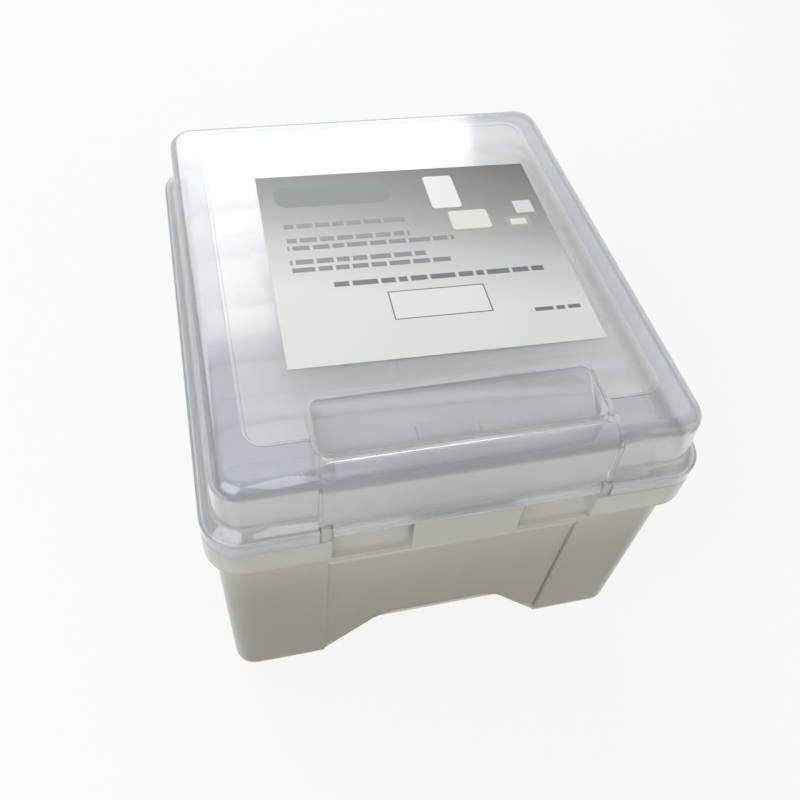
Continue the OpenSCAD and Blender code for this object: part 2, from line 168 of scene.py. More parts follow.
def block(low, high):
    """A box between two corners."""
    bm = bmesh.new()
    bmesh.ops.create_cube(bm, size=1)
    size, middle = Vector(high) - Vector(low), (Vector(high) + Vector(low)) / 2
    bmesh.ops.scale(bm, vec=size, verts=bm.verts)
    bmesh.ops.translate(bm, vec=middle, verts=bm.verts)
    return working_solid(bm)


def bar(x, y, z, radius, length):
    """A round bar along X with its middle at x, y, z."""
    bm = bmesh.new()
    bmesh.ops.create_cone(bm, cap_ends=True, segments=40, radius1=radius, radius2=radius, depth=length)
    bmesh.ops.rotate(bm, matrix=Matrix.Rotation(math.pi / 2, 3, "Y"), verts=bm.verts)
    bmesh.ops.translate(bm, vec=(x, y, z), verts=bm.verts)
    return working_solid(bm)


def combine(target, how, *tools):
    """Joins tools to the target, takes them away, or keeps what both hold. The tools are used up."""
    for tool in tools:
        step = target.modifiers.new("combine", "BOOLEAN")
        step.operation = how
        step.solver = "MANIFOLD"
        step.object = tool
        graph = bpy.context.evaluated_depsgraph_get()
        shape = bpy.data.meshes.new_from_object(target.evaluated_get(graph))
        target.modifiers.clear()
        target.data = shape
        bpy.data.objects.remove(tool)
    return target


def add_to(target, *tools):
    """Joins the tools to the target."""
    return combine(target, "UNION", *tools)


def cut(target, *tools):
    """Takes the tools away from the target."""
    return combine(target, "DIFFERENCE", *tools)


# %% [markdown]
# No moulded edge is sharp. A narrow bevel on every outer edge that turns more than forty degrees
# gives each one a thin line of light. The smallest step is 0.3 mm high, so the bevel stays just
# under that. Booleans leave vertices almost on top of each other, which would tear a bevel open, so
# these are merged first and flat neighbours are joined to one face. Weighted normals then keep the
# large faces flat beside their round edges.

# %% Helper that finishes a piece
MERGE_WITHIN = 0.03
FLAT_WITHIN = math.radians(0.3)
SHARP_FROM = math.radians(40)


def rounded_edges(work, edge):
    """Cleans the mesh of a working solid and rounds its sharp edges."""
    bm = bmesh.new()
    bm.from_mesh(work.data)
    bmesh.ops.remove_doubles(bm, verts=bm.verts, dist=MERGE_WITHIN)
    bmesh.ops.dissolve_limit(bm, angle_limit=FLAT_WITHIN, verts=bm.verts, edges=bm.edges)
    sharp = [e for e in bm.edges if e.is_convex and e.calc_face_angle(0) > SHARP_FROM]
    bmesh.ops.bevel(bm, geom=sharp, offset=edge, segments=2, profile=0.5, affect="EDGES",
                    clamp_overlap=False, material=-1)
    bm.to_mesh(work.data)
    bm.free()


def finished(work, name, body, material, edge=0.28):
    """Rounds the edges, shades the piece, puts it in metres and lets it ride on its body."""
    rounded_edges(work, edge)
    work.data.shade_smooth()
    even = work.modifiers.new("normals", "WEIGHTED_NORMAL")
    even.keep_sharp = True
    graph = bpy.context.evaluated_depsgraph_get()
    mesh = bpy.data.meshes.new_from_object(work.evaluated_get(graph))
    work.modifiers.clear()
    work.data = mesh
    work.name = mesh.name = name
    mesh.transform(Matrix.Scale(MM, 4))
    mesh.materials.clear()
    mesh.materials.append(material)
    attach(work, body)
    print(name, len(mesh.polygons), "faces")
    return work


# %% [markdown]
# Natural polypropylene is milky rather than glassy. Light goes in, bends at an index of 1.49,
# scatters a little on the inside and comes out softened, and a fine moulded grain keeps the gloss
# from being a mirror. So each plastic here is a blend: one part lets light through and the other
# stays diffuse. Its roughness and colour drift over a few centimetres, as the melt did in the mould.

# %% Helpers for colours and shader nodes
def linear(code):
    """A six-figure sRGB colour as the linear colour that a shader takes."""
    parts = [int(code[n:n + 2], 16) / 255 for n in (1, 3, 5)]
    return [p / 12.92 if p <= 0.04045 else ((p + 0.055) / 1.055) ** 2.4 for p in parts] + [1.0]


def add(tree, kind, values={}, links={}):
    """Adds one shader node, sets its values and links its inputs."""
    node = tree.nodes.new(kind)
    for name, value in values.items():
        if isinstance(name, str) and hasattr(node, name):
            setattr(node, name, value)
        else:
            node.inputs[name].default_value = value
    for name, source in links.items():
        tree.links.new(source, node.inputs[name])
    return node


def new_material(name):
    """An empty material with a Principled shader, and its tree and shader."""
    made = bpy.data.materials.new(name)
    made.use_nodes = True
    return made, made.node_tree, made.node_tree.nodes["Principled BSDF"]


# %% [markdown]
# A finish needs masks, which say where a colour goes, and tints that run from one colour to the next.
# Both could be painted as images, but a few nodes stay sharp at any size and need no file. A tint that
# follows the height of a wall, used here for painted shade, is a ramp over the object's own Z, which
# travels with the piece.

# %% Helpers for masks and tints
ANY_HEIGHT = 999.0


def inside(tree, place, middle, half, corner, soft=0.15):
    """1 inside a rounded rectangle of (x, y) and 0 outside it. half is without the corners."""
    moved = add(tree, "ShaderNodeVectorMath", {"operation": "SUBTRACT", 1: (*middle, 0)}, {0: place})
    folded = add(tree, "ShaderNodeVectorMath", {"operation": "ABSOLUTE"}, {0: moved.outputs[0]})
    over = add(tree, "ShaderNodeVectorMath", {"operation": "SUBTRACT", 1: (*half, ANY_HEIGHT)},
               {0: folded.outputs[0]})
    outside = add(tree, "ShaderNodeVectorMath", {"operation": "MAXIMUM", 1: (0, 0, 0)},
                  {0: over.outputs[0]})
    far = add(tree, "ShaderNodeVectorMath", {"operation": "LENGTH"}, {0: outside.outputs[0]})
    edge = add(tree, "ShaderNodeMapRange", {1: corner - soft, 2: corner + soft, 3: 1.0, 4: 0.0},
               {0: far.outputs["Value"]})
    return edge.outputs[0]


def blended(tree, value, stops):
    """A colour that runs through the stops, each a value and a colour, lowest first."""
    low, high = stops[0][0], stops[-1][0]
    share = add(tree, "ShaderNodeMapRange", {1: low, 2: high}, {0: value})
    ramp = add(tree, "ShaderNodeValToRGB", {}, {0: share.outputs[0]})
    for number, (at, tint) in enumerate(stops):
        at = (at - low) / (high - low)
        stop = ramp.color_ramp.elements[number] if number < 2 else ramp.color_ramp.elements.new(at)
        stop.position, stop.color = at, linear(tint)
    return ramp.outputs["Color"]


# %% [markdown]
# All the plastics share one recipe. Cloud is the slow drift of colour, some 60 mm across. Skin is
# the etched surface of the mould, drawn 0.9 mm across because the real 0.1 mm wouldn't show. Where
# it has been handled the gloss drifts a little, over patches of 14 mm. Along a rounded edge the eye
# looks down the wall through much more plastic, and that deeper look is painted into the tint as
# shade: a colour for each height paints it, and a flat top, which has no such depth, can have painted
# shade of its own.

# %% Moulded polypropylene
CLOUD_SIZE, HANDLED_SIZE, SKIN_SIZE = 60, 14, 0.9
POLYPROPYLENE_IOR = 1.49


def polypropylene(name, clear, milky, transmission, roughness, gloss=0.3, shade_by_height=None, flat=None):
    """Injection moulded natural polypropylene: two tints, how much light goes through, gloss, and painted
    shade by height.
    """
    made, tree, shader = new_material(name)
    place = add(tree, "ShaderNodeTexCoord").outputs["Object"]
    millimetres = add(tree, "ShaderNodeVectorMath", {"operation": "SCALE", "Scale": 1 / MM},
                      {0: place}).outputs[0]
    height = add(tree, "ShaderNodeSeparateXYZ", {}, {0: millimetres}).outputs["Z"]
    cloud = add(tree, "ShaderNodeTexNoise", {"Scale": 1 / CLOUD_SIZE, "Detail": 3.0},
                {"Vector": millimetres})
    tint = add(tree, "ShaderNodeMix", {"data_type": "RGBA", 6: linear(clear), 7: linear(milky)},
               {0: cloud.outputs["Fac"]}).outputs[2]
    # The stops paint shade into the tint by height: it is darker wherever a stop is darker.
    if shade_by_height:
        shade = blended(tree, height, shade_by_height)
        if flat:
            middle, half, corner, flat_painted_shade = flat
            mask = inside(tree, millimetres, middle, half, corner, soft=0.6)
            shade = add(tree, "ShaderNodeMix", {"data_type": "RGBA"},
                        {0: mask, 6: shade, 7: blended(tree, height, flat_painted_shade)}).outputs[2]
        tint = add(tree, "ShaderNodeMix", {"data_type": "RGBA", "blend_type": "MULTIPLY", 0: 1.0},
                   {6: tint, 7: shade}).outputs[2]
    tree.links.new(tint, shader.inputs["Base Color"])
    handled = add(tree, "ShaderNodeTexNoise", {"Scale": 1 / HANDLED_SIZE, "Detail": 4.0},
                  {"Vector": millimetres})
    gloss_drift = add(tree, "ShaderNodeMapRange",
                      {1: 0.35, 2: 0.65, 3: roughness - 0.02, 4: roughness + 0.03},
                      {0: handled.outputs["Fac"]})
    tree.links.new(gloss_drift.outputs[0], shader.inputs["Roughness"])
    skin = add(tree, "ShaderNodeTexNoise", {"Scale": 1 / SKIN_SIZE, "Detail": 2.0},
               {"Vector": millimetres})
    bump = add(tree, "ShaderNodeBump", {"Strength": 0.04, "Distance": 0.0002},
               {"Height": skin.outputs["Fac"]})
    tree.links.new(bump.outputs["Normal"], shader.inputs["Normal"])
    shader.inputs["IOR"].default_value = POLYPROPYLENE_IOR
    shader.inputs["Transmission Weight"].default_value = transmission
    shader.inputs["Coat Weight"].default_value = gloss
    shader.inputs["Coat Roughness"].default_value = 0.06
    return made


# %% [markdown]
# The lid is the clearest and glossiest and cool in tint. Painted shade darkens its tint along its
# ledge, its rounded top edge and the border of its raised panel. The base is milkier and warmer, and
# painted shade deepens its tint towards its foot and at the swell of its flange, where less light
# comes in from the rim. The tab is duller, from all the bending. The boxes are thin, but so many of
# their walls stand behind each other that they look almost white.

# %% The five plastics
# Painted shade: these tints darken the lid's ledge, its rounded top edge and the border of its raised panel.
lid_painted_shade = [(108.6, "#F2F4F6"), (112.5, "#ECEEF1"), (115.0, "#E0E3E6"), (119.5, "#FAFBFC"),
               (132.5, "#FAFBFC"), (134.5, "#CDD0D4"), (137.9, "#CED2D6"), (139.1, "#E6E9EC")]
top_painted_shade = [(138.2, "#FFFFFF"), (138.8, "#E0E4E8"), (139.15, "#E0E4E8"), (139.25, "#C4C8CC"),
               (139.55, "#C4C8CC"), (139.65, "#FFFFFF")]
lid_flat = ((0.0, 0.33), (77.0, 90.0), 5.0, top_painted_shade)
lid_plastic = polypropylene("polypropylene_moulded_clear_lid", "#FDFEFF", "#F8FAFB",
                            transmission=0.80, roughness=0.11, gloss=0.6,
                            shade_by_height=lid_painted_shade, flat=lid_flat)
# Painted shade: the base's tint darkens and warms towards its foot, and a little at the swell of the flange.
base_painted_shade = [(0.0, "#A8A38D"), (32.0, "#BCB8A3"), (60.0, "#D4D0BF"), (80.0, "#E8E5DA"),
                (88.0, "#F3F1EA"), (92.5, "#E8E5DC"), (97.0, "#FFFFFF")]
base_plastic = polypropylene("polypropylene_moulded_milky_base", "#EFEEE8", "#DCD8CC",
                             transmission=0.64, roughness=0.24, gloss=0.4, shade_by_height=base_painted_shade)
tab_plastic = polypropylene("polypropylene_moulded_snap_tab", "#CBC9BB", "#C0BEAF",
                            transmission=0.30, roughness=0.32)
tray_plastic = polypropylene("polypropylene_moulded_box_tray", "#FAFBFB", "#F5F7F7",
                             transmission=0.12, roughness=0.30)
box_lid_plastic = polypropylene("polypropylene_moulded_box_lid", "#FBFCFD", "#F6F8FA",
                                transmission=0.14, roughness=0.22)
print("plastics:", ", ".join(m.name for m in bpy.data.materials if "polypropylene" in m.name))

# %% [markdown]
# The base is a tub. Its wall leans out from a rounded foot, swells into a flange, and ends level at
# the rim. The space inside is a second loft, one wall smaller. Where the front is set back, and
# where the arch is cut under it, that space stops a wall short, so that the cut leaves a full wall.
# A cutter reaches past the surface that it opens, mostly by 1 mm, because surfaces that only touch
# confuse a Boolean.

# %% Sizes of the base
WALL, FLOOR, PAST = 1.5, 2.6, 1.0
FOOT_HALF, FOOT_FRONT, FOOT_BACK, FOOT_CORNER = 87.0, -98.5, 98.6, 8.5
FLANGE_HALF, FLANGE_FRONT, FLANGE_BACK, FLANGE_CORNER = 92.5, -105.0, 102.1, 14.0
SWELL_LOW, SWELL_TOP, RIM = 90.8, 95.8, 108.3
ROW_FRONT = -85.0
PANEL_HALF, PANEL_SET_BACK, MIDDLE_RIM = 49.2, 1.2, -101.5
UPSTAND, UPSTAND_WALL = 3.3, 1.4
FOOT_ROUND, FOOT_RIM, FOOT_RISE = 3.0, 8.0, 1.0
WALL_LEAN, BACK_LEAN, GAP = 2.0, 1.0, 0.3
ARCH_FOOT, ARCH_TOP, ARCH_HEIGHT, ARCH_CORNER = 50.0, 25.0, 28.0, 6.0


def inset(level, by):
    """The same level drawn in by a wall, or out by a negative one."""
    z, half, front, back, corner = level
    return (z, half - by, front + by, back - by, corner - by)


foot = (0.0, FOOT_HALF, FOOT_FRONT, FOOT_BACK, FOOT_CORNER)
below_swell = (SWELL_LOW, FOOT_HALF + WALL_LEAN, FOOT_FRONT - WALL_LEAN, FOOT_BACK + BACK_LEAN,
               FOOT_CORNER + WALL_LEAN)
above_swell = (SWELL_TOP, FLANGE_HALF, FLANGE_FRONT, FLANGE_BACK, FLANGE_CORNER)
rim = (RIM, *above_swell[1:])
turns = [math.radians(degrees) for degrees in range(0, 91, 15)]
foot_levels = [(FOOT_ROUND * (1 - math.cos(turn)), *inset(foot, FOOT_ROUND * (1 - math.sin(turn)))[1:])
               for turn in turns]
print("base:", 2 * FLANGE_HALF, "mm wide,", RIM, "mm to its rim")

# %% [markdown]
# The middle of the real front is a panel, set back a little, with a recess for the fingers arched
# out under it. One cutter takes away what is in front of the panel and one makes the arch. Grown by
# a wall, the same two cutters keep the inside away from them.

# %% Cutters for the set-back front and the arch
PANEL_BEND = SWELL_LOW - 10


def front_profile(back_by, top):
    """Everything in front of the middle panel, as (y, z) points."""
    panel = FOOT_FRONT + PANEL_SET_BACK + back_by
    return [(FLANGE_FRONT - PAST, top), (FLANGE_FRONT - PAST, -PAST), (panel, -PAST),
            (panel, FOOT_ROUND), (panel - WALL_LEAN, PANEL_BEND),
            (MIDDLE_RIM + back_by, SWELL_LOW), (MIDDLE_RIM + back_by, top)]


def arch(grown, back):
    """The arched recess under the front, grown outwards by a wall."""
    slope = math.atan2(ARCH_HEIGHT, ARCH_FOOT - ARCH_TOP)
    foot_x = ARCH_FOOT + grown / math.sin(slope) + PAST / math.tan(slope)
    top_x = foot_x - (ARCH_HEIGHT + grown + PAST) / math.tan(slope)
    top = ARCH_HEIGHT + grown
    profile = [(-foot_x, -PAST), (foot_x, -PAST), (top_x, top), (-top_x, top)]
    return forwards(FLANGE_FRONT - PAST, back, profile, {2: ARCH_CORNER, 3: ARCH_CORNER})


# %% The base tub
tub = loft(foot_levels + swell(below_swell, above_swell) + [rim])
inner_levels = [inset((FLOOR, *foot[1:]), WALL)]
inner_levels += [inset((z + WALL / 2, *rest), WALL) for z, *rest in swell(below_swell, above_swell)]
room = loft(inner_levels + [inset((RIM + PAST, *rim[1:]), WALL)])
cut(room, sideways(PANEL_HALF + WALL, front_profile(WALL, RIM + 2 * PAST)), arch(WALL, ROW_FRONT))
cut(tub, room)
gap_ring = WALL + GAP
upstand = plate(inset((RIM - WALL, *rim[1:]), gap_ring), RIM + UPSTAND)
add_to(upstand, plate(inset((RIM - WALL, *rim[1:]), WALL / 2), RIM))
cut(upstand, plate(inset((RIM - 2 * WALL, *rim[1:]), gap_ring + UPSTAND_WALL), RIM + UPSTAND + PAST))
add_to(tub, upstand)
cut(tub, sideways(PANEL_HALF, front_profile(0, RIM + UPSTAND + PAST)), arch(0, ROW_FRONT - WALL))
foot_inside = (-PAST, FOOT_HALF - FOOT_RIM, ROW_FRONT - WALL + FOOT_RIM, FOOT_BACK - FOOT_RIM, FOOT_CORNER)
cut(tub, plate(foot_inside, FOOT_RISE))
print("tub:", len(tub.data.polygons), "faces")

# %% [markdown]
# Three small things make the front work: the wall of the middle rim, the rib that the snap tab
# catches, and the two upright ears that keep the lid's slots in line. At the back, four lugs with
# gussets hold the lid's hinge pins.

# %% Rib, ears and hinge lugs of the base
EAR_IN, EAR_WIDTH, EAR_RISE = 49.2, 4.0, 8.0
HINGE_X, HINGE_Y, HINGE_Z, GUSSET_HEIGHT, PIN_PLAY = 55.0, 102.4, 108.45, 9.0, 0.06
BARREL_WIDTH, BARREL_RADIUS, PIN_RADIUS, PIN_LENGTH = 14.0, 2.6, 1.5, 4.0
LUG_OFFSET = BARREL_WIDTH / 2 + GAP + PIN_LENGTH / 2
CATCH_HALF, CATCH_Y, CATCH_LOW, CATCH_HIGH = 18.0, -102.7, 97.2, 99.6
lug_places = [side * HINGE_X + end * LUG_OFFSET for side in (-1, 1) for end in (-1, 1)]

add_to(tub, block((-PANEL_HALF - WALL, MIDDLE_RIM, SWELL_LOW),
                  (PANEL_HALF + WALL, MIDDLE_RIM + WALL, RIM + UPSTAND)))
add_to(tub, block((-CATCH_HALF, CATCH_Y, CATCH_LOW), (CATCH_HALF, MIDDLE_RIM + WALL / 2, CATCH_HIGH)))
for side in (-1, 1):
    ear_x = side * (EAR_IN + EAR_WIDTH / 2)
    low, high = ear_x - EAR_WIDTH / 2, ear_x + EAR_WIDTH / 2
    add_to(tub, block((low, FLANGE_FRONT, SWELL_TOP), (high, MIDDLE_RIM + WALL, RIM)))
    add_to(tub, block((low + GAP, FLANGE_FRONT + GAP, RIM - PAST),
                      (high - GAP, MIDDLE_RIM - GAP, RIM + EAR_RISE)))
gusset = [(FLANGE_BACK - WALL, HINGE_Z), (FLANGE_BACK - WALL, HINGE_Z - GUSSET_HEIGHT),
          (FLANGE_BACK, HINGE_Z - GUSSET_HEIGHT), (HINGE_Y + BARREL_RADIUS, HINGE_Z)]
for x in lug_places:
    lug = sideways(PIN_LENGTH / 2, gusset)
    for vert in lug.data.vertices:
        vert.co.x += x
    add_to(tub, bar(x, HINGE_Y, HINGE_Z, BARREL_RADIUS, PIN_LENGTH), lug)
for x in lug_places:
    cut(tub, bar(x, HINGE_Y, HINGE_Z, PIN_RADIUS + PIN_PLAY, PIN_LENGTH + 2 * GAP))
for side in (-1, 1):
    cut(tub, bar(side * HINGE_X, HINGE_Y, HINGE_Z, BARREL_RADIUS + GAP, BARREL_WIDTH + 2 * GAP))
keeper_base = finished(tub, "keeper_base", "base", base_plastic)
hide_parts("case_base")

# %% [markdown]
# The lid is a second tub, turned over. Its flange sits on the rim, a soft ledge leads in to the
# wall, and the top edge is a quarter round. A low panel is raised on top, and the finger pocket is
# sunk into its front, behind a proud rounded bar that runs down to the flange. Where the ledge
# slopes, drawing the inside in would leave the wall too thin, so its levels drop a little as well.

# %% Sizes and levels of the lid
LID_LOW, LEDGE_LOW, LEDGE_TOP = 108.6, 114.1, 118.6
CEILING, TOP, PANEL_TOP, LID_TOP = 137.6, 139.1, 139.7, 140.0
HEAD_HALF, HEAD_FRONT, HEAD_BACK = 87.5, -100.0, 100.65
TOP_ROUND, MITRE = 5.5, math.radians(22.5)
BORDER, BORDER_FRONT, PANEL_CORNER = 12.5, 16.0, 8.0
lid_flange = (LEDGE_LOW, FLANGE_HALF, FLANGE_FRONT, FLANGE_BACK, FLANGE_CORNER)
lid_wall_foot = (LEDGE_TOP, 88.0, -100.7, 100.9, 10.5)
lid_wall_head = (TOP, HEAD_HALF, HEAD_FRONT, HEAD_BACK, 10.5)


def lid_levels(by):
    """Levels of the lid from its lower edge to its top, all drawn in by a wall."""
    drop = by * math.tan(MITRE)
    radius = TOP_ROUND - by
    levels = [inset((LID_LOW - (PAST if by else 0), *lid_flange[1:]), by)]
    levels += [inset((z - drop, *rest), by) for z, *rest in swell(lid_flange, lid_wall_foot)]
    for turn in [math.radians(degrees) for degrees in range(0, 91, 10)]:
        level = (TOP - TOP_ROUND + radius * math.sin(turn), *lid_wall_head[1:])
        levels.append(inset(level, radius * (1 - math.cos(turn)) + by))
    return levels


def raised_panel(by, low, high):
    """The low panel on the lid's top, drawn in by a wall."""
    level = (low, HEAD_HALF - BORDER, HEAD_FRONT + BORDER_FRONT, HEAD_BACK - BORDER, PANEL_CORNER)
    return loft([inset(level, by), inset((high, *level[1:]), by)])


print("lid:", round(LID_TOP - LID_LOW, 1), "mm high")

# %% [markdown]
# Fingers reach into the pocket and hold the lid by the bar in front of it. The bar with the band
# below it, and the pocket with its slanted back, are drawn as side profiles and pulled through. Each
# is used twice: as it is for the outside, and drawn in or grown by a wall for the inside.

# %% The grip band, the finger pocket and its rim
BAND_HALF, BAND_FACE, BAND_LOW, GRIP_ROUND = 53.5, -101.6, 111.6, 7.0
BAND_IN_ABOVE, BAND_OUT_BELOW = 0.4, 0.8
POCKET_FRONT, POCKET_BACK, POCKET_LOW, POCKET_HALF = -90.6, -67.1, 125.5, 51.5
POCKET_CORNER, POCKET_FLOOR, POCKET_RIM, POCKET_ROUND = 5.0, 5.0, 2.0, 3.0


def band(half, by):
    """The proud band at the middle of the lid's front, drawn in by a wall."""
    back = HEAD_FRONT + WALL + by
    roof = LID_TOP - by
    profile = [(POCKET_FRONT, CEILING - by), (POCKET_FRONT, roof), (BAND_FACE + by + BAND_IN_ABOVE, roof),
               (BAND_FACE - BAND_OUT_BELOW + by, LEDGE_TOP), (FLANGE_FRONT + by, LEDGE_LOW),
               (FLANGE_FRONT + by, LID_LOW - by), (back, LID_LOW - by), (back, TOP - TOP_ROUND),
               (HEAD_FRONT + TOP_ROUND, CEILING - by)]
    return sideways(half, profile, {2: GRIP_ROUND - by})


def pocket(by):
    """The space of the finger pocket, grown outwards by a wall."""
    low, front, back = POCKET_LOW - by, POCKET_FRONT - by, POCKET_BACK + 2 * by
    mouth = (low, POCKET_HALF + by, front, back, POCKET_CORNER + by)
    slope = [(back, LID_TOP), (back, LID_TOP + 2 * PAST), (front - PAST, LID_TOP + 2 * PAST),
             (front - PAST, low), (POCKET_FRONT + POCKET_FLOOR, low)]
    wedge = sideways(POCKET_HALF + by + PAST, slope, {4: POCKET_ROUND})
    return combine(plate(mouth, LID_TOP + PAST), "INTERSECT", wedge)


# %% The lid
pocket_lip = (CEILING, BAND_HALF, POCKET_FRONT - POCKET_RIM, POCKET_BACK + POCKET_RIM,
              POCKET_CORNER + POCKET_RIM)
cover = loft(lid_levels(0))
add_to(cover, raised_panel(0, CEILING, PANEL_TOP), band(BAND_HALF, 0), plate(pocket_lip, LID_TOP))
space = loft(lid_levels(WALL))
add_to(space, raised_panel(WALL, CEILING - PAST, PANEL_TOP - WALL), band(BAND_HALF - WALL, WALL))
cut(space, pocket(WALL))
cut(cover, space, pocket(0))
for side in (-1, 1):
    low, high = sorted((side * (EAR_IN - GAP), side * (EAR_IN + EAR_WIDTH + GAP)))
    cut(cover, block((low, FLANGE_FRONT - PAST, LID_LOW - PAST), (high, MIDDLE_RIM, RIM + EAR_RISE + GAP)))
cut(cover, block((-EAR_IN, FLANGE_FRONT - PAST, LID_LOW - PAST), (EAR_IN, MIDDLE_RIM, BAND_LOW)))
for x in lug_places:
    cut(cover, bar(x, HINGE_Y, HINGE_Z, BARREL_RADIUS + GAP, PIN_LENGTH + 2 * GAP))
for side in (-1, 1):
    add_to(cover, bar(side * HINGE_X, HINGE_Y, HINGE_Z, BARREL_RADIUS, BARREL_WIDTH))
    add_to(cover, bar(side * HINGE_X, HINGE_Y, HINGE_Z, PIN_RADIUS, BARREL_WIDTH + 2 * PIN_LENGTH))
keeper_lid = finished(cover, "keeper_lid", "lid", lid_plastic)
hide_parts("case_lid_skirt", "case_lid_top")

# %% [markdown]
# The snap tab hangs from the middle of the lid's front and closes over the rib on the base. It is
# a flat plate with a round roll along its top, where it bends, and a small bead inside that snaps
# under the rib. It rides on a body of its own, so it can swing out while the lid stays shut.

# %% Snap tab
TAB_HALF, TAB_ROLL, TAB_AXIS_Z, TAB_LOW, TAB_INNER = 20.0, 0.8, 110.5, 93.7, -103.4
BEAD_LOW, BEAD_HIGH, BEAD_REACH = 94.5, 96.9, 0.4
plate_profile = [(FLANGE_FRONT, TAB_AXIS_Z), (FLANGE_FRONT, TAB_LOW), (TAB_INNER, TAB_LOW),
                 (TAB_INNER, TAB_AXIS_Z)]
tab = sideways(TAB_HALF, plate_profile, {1: TAB_ROLL})
bead = [(TAB_INNER - TAB_ROLL, BEAD_LOW), (TAB_INNER + BEAD_REACH, BEAD_LOW),
        (TAB_INNER + BEAD_REACH, BEAD_HIGH), (TAB_INNER - TAB_ROLL, BEAD_HIGH)]
roll = bar(0, FLANGE_FRONT + TAB_ROLL, TAB_AXIS_Z, TAB_ROLL, 2 * TAB_HALF)
add_to(tab, roll, sideways(CATCH_HALF, bead))
snap_tab = finished(tab, "snap_tab_moulded", "tab", tab_plastic, edge=0.2)
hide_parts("snap_tab")

# %% [markdown]
# Six photo boxes stand in a row. Each is a rounded slab split across its depth: a deep tray, and a
# lid hinged along the lower edge with a tongue that reaches over the tray's upper edge. They are
# made once, lying down, and then stood up and moved to their six places.

# %% Sizes of one photo box
BOX_HALF, BOX_TALL, BOX_DEEP, BOX_WALL, BOX_EDGE, BOX_CORNER = 85.0, 115.0, 30.0, 1.2, 6.5, 8.0
SPLIT, LIP_TOP, TONGUE_HALF, TONGUE_REACH = 20.5, 23.5, 12.0, 8.0
BOX_HINGE_X, BOX_HINGE_Y, BOX_HINGE_Z = 50.0, 2.3, 20.65
BOX_BARREL, BOX_BARREL_WIDTH, BOX_PIN, BOX_PIN_LENGTH = 2.0, 12.0, 1.0, 3.0
BOX_PITCH, BOX_STANDS = 30.3, 2.9


def box_block(by):
    """The closed box as one solid, drawn in by a wall."""
    radius = BOX_EDGE - by
    flat = (0, BOX_HALF, 0, BOX_TALL, BOX_CORNER)
    levels = []
    for turn in turns:
        height = by + radius * (1 - math.cos(turn))
        levels.append((height, *inset(flat, by + radius * (1 - math.sin(turn)))[1:]))
    for turn in turns:
        height = BOX_DEEP - by - radius * (1 - math.sin(turn))
        levels.append((height, *inset(flat, by + radius * (1 - math.cos(turn)))[1:]))
    return loft(levels)


def slab(low, high):
    """A block wider than the box, between two depths."""
    return block((-2 * BOX_HALF, -PAST, low), (2 * BOX_HALF, BOX_TALL + PAST, high))


def edge_plate(by, low, high):
    """The outline of the box drawn in by a wall, between two depths."""
    return plate(inset((low, BOX_HALF, 0, BOX_TALL, BOX_CORNER), by), high)


def box_bar(x, radius, length):
    """A round bar on the hinge line of the box."""
    return bar(x, BOX_HINGE_Y, BOX_HINGE_Z, radius, length)


ear_places = [side * BOX_HINGE_X + end * (BOX_BARREL_WIDTH / 2 + GAP + BOX_PIN_LENGTH / 2)
              for side in (-1, 1) for end in (-1, 1)]
print("photo box:", 2 * BOX_HALF, BOX_TALL, BOX_DEEP, "mm")

# %% [markdown]
# The tray is the block with the inside and everything above the split taken away. A thin lip stands
# up inside its edge and holds the closed lid in line, a pad inside its upper wall backs the notch
# for the tongue, and four small ears hold the lid's pins.

# %% Tray of a photo box
tray = cut(box_block(0), box_block(BOX_WALL), slab(SPLIT, BOX_DEEP + PAST))
lip = add_to(edge_plate(BOX_WALL + GAP, SPLIT - BOX_WALL, LIP_TOP),
             edge_plate(BOX_WALL / 2, SPLIT - BOX_WALL, SPLIT))
cut(lip, edge_plate(2 * BOX_WALL + GAP, SPLIT - BOX_WALL - PAST, LIP_TOP + PAST))
add_to(tray, lip, block((-TONGUE_HALF - BOX_WALL, BOX_TALL - 3 * BOX_WALL, SPLIT - TONGUE_REACH - BOX_WALL),
                        (TONGUE_HALF + BOX_WALL, BOX_TALL - BOX_WALL / 2, SPLIT)))
add_to(tray, *(box_bar(x, BOX_BARREL, BOX_PIN_LENGTH) for x in ear_places))
cut(tray, block((-TONGUE_HALF - GAP, BOX_TALL - BOX_WALL - GAP, SPLIT - TONGUE_REACH - GAP),
                (TONGUE_HALF + GAP, BOX_TALL + PAST, SPLIT + PAST)))
cut(tray, *(box_bar(x, BOX_PIN + PIN_PLAY, BOX_PIN_LENGTH + GAP) for x in ear_places))
cut(tray, *(box_bar(side * BOX_HINGE_X, BOX_BARREL + GAP, BOX_BARREL_WIDTH + 2 * GAP) for side in (-1, 1)))
print("tray:", len(tray.data.polygons), "faces before its edges are rounded")

# %% [markdown]
# The lid is what the split leaves on the other side, less a hair of clearance. The tongue reaches
# down over the tray's notch, and the two barrels carry the pins.

# %% Lid of a photo box
small_lid = cut(box_block(0), box_block(BOX_WALL), slab(-PAST, SPLIT + GAP))
cut(small_lid, *(box_bar(x, BOX_BARREL + GAP, BOX_PIN_LENGTH + 2 * GAP) for x in ear_places))
add_to(small_lid, block((-TONGUE_HALF, BOX_TALL - BOX_WALL, SPLIT - TONGUE_REACH),
                        (TONGUE_HALF, BOX_TALL, BOX_DEEP - BOX_EDGE)))
for side in (-1, 1):
    add_to(small_lid, box_bar(side * BOX_HINGE_X, BOX_BARREL, BOX_BARREL_WIDTH))
    add_to(small_lid, box_bar(side * BOX_HINGE_X, BOX_PIN, BOX_BARREL_WIDTH + 2 * BOX_PIN_LENGTH))
print("box lid:", len(small_lid.data.polygons), "faces before its edges are rounded")

# %% [markdown]
# The six boxes are alike, so the tray and the lid are copied. Each copy is turned upright and moved
# in its mesh, not as an object, and rides on the body of its own box, so that each can be lifted.

